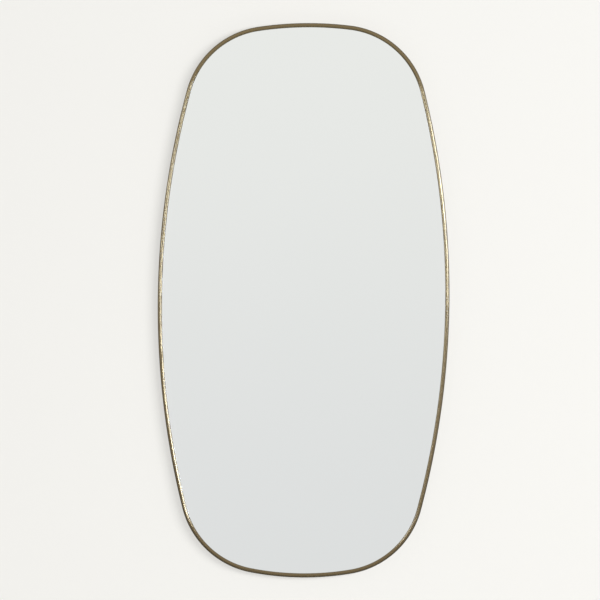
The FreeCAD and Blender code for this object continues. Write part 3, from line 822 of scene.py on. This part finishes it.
def wall_edge(facing):
    """Where a line from the mirror's middle in a direction meets the wall's own edge."""
    limits = []
    if abs(facing[0]) > 1e-9:
        limits.append(WALL_HALF_WIDTH / abs(facing[0]))
    if facing[1] > 1e-9:
        limits.append(WALL_ABOVE / facing[1])
    if facing[1] < -1e-9:
        limits.append(FLOOR_BELOW / -facing[1])
    return np.array([outline_middle.x, outline_middle.z]) + facing * min(limits)


def make_wall():
    """A flat wall with an opening of the mirror's own shape."""
    edge, facing, _, _ = outline(OPENING_INSET, 12 * MM)
    middle = np.array([outline_middle.x, outline_middle.z])
    count = len(edge)
    outer = []
    for point in edge:
        away = (point - middle) / np.linalg.norm(point - middle)
        outer.append(wall_edge(away))
    corners = [(-WALL_HALF_WIDTH, floor_z), (WALL_HALF_WIDTH, floor_z),
               (WALL_HALF_WIDTH, wall_top), (-WALL_HALF_WIDTH, wall_top)]
    for x, z in corners:
        nearest = min(range(count), key=lambda index: math.hypot(outer[index][0] - x, outer[index][1] - z))
        outer[nearest] = np.array([x, z])
    points = [(x, WALL_BEHIND, z) for x, z in edge] + [(x, WALL_BEHIND, z) for x, z in outer]
    faces = []
    for index in range(count):
        beside = (index + 1) % count
        faces.append((index, count + index, count + beside, beside))
    mesh = bpy.data.meshes.new("plain_wall")
    mesh.from_pydata(points, [], faces)
    mesh.validate()
    wall = bpy.data.objects.new("plain_wall", mesh)
    bpy.context.scene.collection.objects.link(wall)
    print("wall faces look to", tuple(round(c, 2) for c in mesh.polygons[0].normal))
    return wall


def make_floor():
    """A flat floor, in front of the wall and behind it."""
    back = WALL_BEHIND + FLOOR_BACK
    points = [(-WALL_HALF_WIDTH, back, floor_z), (WALL_HALF_WIDTH, back, floor_z),
              (WALL_HALF_WIDTH, -FLOOR_FRONT, floor_z), (-WALL_HALF_WIDTH, -FLOOR_FRONT, floor_z)]
    mesh = bpy.data.meshes.new("pale_floor")
    mesh.from_pydata(points, [], [(0, 3, 2, 1)])
    floor = bpy.data.objects.new("pale_floor", mesh)
    bpy.context.scene.collection.objects.link(floor)
    return floor


wall = make_wall()
floor = make_floor()


# %% Paint the wall and the floor
WALL_SEEN = (0.913, 0.905, 0.872)
WALL_GLOW = 0.67


def wall_paint():
    """Matt paint that glows for the camera and lets light from behind through."""
    paint = Finish("wall_paint")
    grain = paint.noise(paint.at(), 260.0, 3.0)
    matt = paint.node("BsdfDiffuse", {}, {"Color": (0.885, 0.875, 0.845),
                                          "Normal": paint.bump(grain, 0.1 * MM, 0.15)})
    glow = paint.node("Emission", {}, {"Color": WALL_SEEN})
    seen = paint.node("LightPath", output="Is Camera Ray")
    bright = paint.node("MixShader", {}, {0: seen * WALL_GLOW, 1: matt, 2: glow})
    behind = paint.node("NewGeometry", output="Backfacing")
    shadow = paint.node("LightPath", output="Is Shadow Ray")
    scattered = paint.node("LightPath", output="Is Diffuse Ray")
    clear = paint.node("BsdfTransparent")
    unseen = behind.larger(shadow.larger(scattered))
    shown = paint.node("MixShader", {}, {0: unseen, 1: bright, 2: clear})
    return paint.covered(shown)


def floor_paint():
    """Matt paint that fades out towards the viewer."""
    paint = Finish("floor_paint")
    place = paint.at()
    forward = paint.part(place, "Y")
    fade = 1 - forward.between(-3.35, -1.6)
    matt = paint.node("BsdfDiffuse", {}, {"Color": (0.80, 0.795, 0.78)})
    clear = paint.node("BsdfTransparent")
    shown = paint.node("MixShader", {}, {0: fade, 1: matt, 2: clear})
    return paint.covered(shown)


dress(wall, wall_paint())
dress(floor, floor_paint())

# %% [markdown]
# ## Light
#
# The room is plain and pale, so most of the light comes from the world, evenly from all round. The
# world shows itself a little brighter overhead than at the floor, and the pane and the brass reflect
# that. The key lamp stands to the right and throws the mirror's soft shadow on the wall to the left.
#
# The highlights come from three cards of daylight that only the rim sees, so the pane stays plain.
# Brushed metal sends a card on to the camera only where the bar's outward side, or the side opposite
# to it, points at the card. Seen from the mirror's middle, the far card reaches from 3 to 16
# degrees up: it lights the upper right side and, on the inner flank, the lower left side. The near
# card is narrow and stands in line with the centre of the long left arc, to which all of that arc's
# inner flank points. The left card lights the outer flank of the upper left side. Two lamps behind
# light the mirror's back.

# %% The world
AMBIENT = 0.30


def make_world():
    """A pale room all round, which the metal sees brighter than it lights matt things."""
    world = bpy.data.worlds.new("studio")
    bpy.context.scene.world = world
    sky = Finish("studio", world)
    up = sky.part(sky.node("TexCoord", output="Generated"), "Z")
    lower = sky.mix(up.between(-0.75, -0.02), (0.58, 0.57, 0.56), (0.825, 0.815, 0.81))
    shown = sky.mix(up.between(-0.075, 0.08), lower, (0.925, 0.91, 0.88))
    camera = sky.node("LightPath", output="Is Camera Ray")
    glossy = sky.node("LightPath", output="Is Glossy Ray")
    through = sky.node("LightPath", output="Is Transmission Ray")
    seen = camera.larger(glossy.larger(through))
    colour = sky.mix(seen, (AMBIENT, AMBIENT, AMBIENT * 0.985), shown)
    background = sky.node("Background", {}, {"Color": colour, "Strength": 1.0})
    sky.node("OutputWorld", {}, {"Surface": background})


make_world()


# %% The lamps and the cards
PLAIN = (1.0, 1.0, 1.0)
DAYLIGHT = (0.83, 1.0, 1.38)


def softbox(name, place, target, width, height, radiance, colour=PLAIN):
    """An area light of a size, aimed at a point, whose face is so many times white."""
    lamp = bpy.data.lights.new(name, "AREA")
    lamp.shape = "RECTANGLE"
    lamp.size = width
    lamp.size_y = height
    lamp.color = colour
    lamp.energy = radiance * math.pi * width * height
    light = bpy.data.objects.new(name, lamp)
    bpy.context.scene.collection.objects.link(light)
    light.location = place
    light.rotation_euler = (Vector(target) - Vector(place)).to_track_quat("-Z", "Y").to_euler()
    print("%s: %.2f m by %.2f m" % (name, width, height))
    return light


def card(name, place, width, height, radiance):
    """A daylight card, square to X, that only the brass reflects: it lights nothing else."""
    light = softbox(name, place, (0, place[1], place[2]), width, height, radiance, DAYLIGHT)
    light.visible_diffuse = False
    light.light_linking.receiver_collection = brass_only
    return light


brass_only = bpy.data.collections.new("brass_only")
brass_only.objects.link(rim)

middle_z = outline_middle.z
key = softbox("key", (3.0, -5.2, middle_z + 0.5), (0, 0, middle_z), 4.0, 1.4, 17.6)
key.visible_glossy = False
card("far_card", (12.0, -15.0, middle_z + 2.02), 16.0, 2.84, 17.0)
card("near_card", (1.35, -2.2, middle_z + 0.01), 2.0, 0.09, 18.0)
card("left_card", (-1.5, -1.9, middle_z + 0.45), 0.7, 0.85, 11.0)
softbox("back_left", (-1.6, 2.4, middle_z + 1.1), (0, 0, middle_z), 1.2, 1.2, 3.5)
softbox("back_right", (1.9, 2.4, middle_z + 1.0), (0, 0, middle_z), 0.9, 1.4, 2.0)

# %% [markdown]
# ## The camera
#
# The photographer stood straight in front, with the camera level with the mirror's middle: the
# outline's sides don't lean. The scale is set by the rim's height, which fills 554 of the picture's
# 600 rows, and a long lens keeps the perspective as flat as it looks.

# %% Place the camera
PICTURE_SIZE = 600
OUTLINE_HEIGHT_SEEN = 554.5
OUTLINE_COLUMN_SEEN = 303.6
OUTLINE_ROW_SEEN = 300.3
LENS = 250.0
SENSOR = 36.0


def make_camera():
    """A level camera square to the wall, as far away as the rim's height in the picture asks."""
    data = bpy.data.cameras.new("camera")
    data.lens = LENS
    data.sensor_width = SENSOR
    camera = bpy.data.objects.new("camera", data)
    bpy.context.scene.collection.objects.link(camera)
    metres_per_pixel = OVERALL_HEIGHT / OUTLINE_HEIGHT_SEEN
    field = metres_per_pixel * PICTURE_SIZE
    distance = field * LENS / SENSOR
    x = outline_middle.x - (OUTLINE_COLUMN_SEEN - PICTURE_SIZE / 2) * metres_per_pixel
    z = outline_middle.z + (OUTLINE_ROW_SEEN - PICTURE_SIZE / 2) * metres_per_pixel
    camera.location = (x, rim_low.y + OUTER_DROP - distance, z)
    camera.rotation_euler = (math.pi / 2, 0, 0)
    bpy.context.scene.camera = camera
    print("camera at", tuple(round(c, 3) for c in camera.location))


make_camera()
bpy.context.scene.view_settings.view_transform = "Standard"
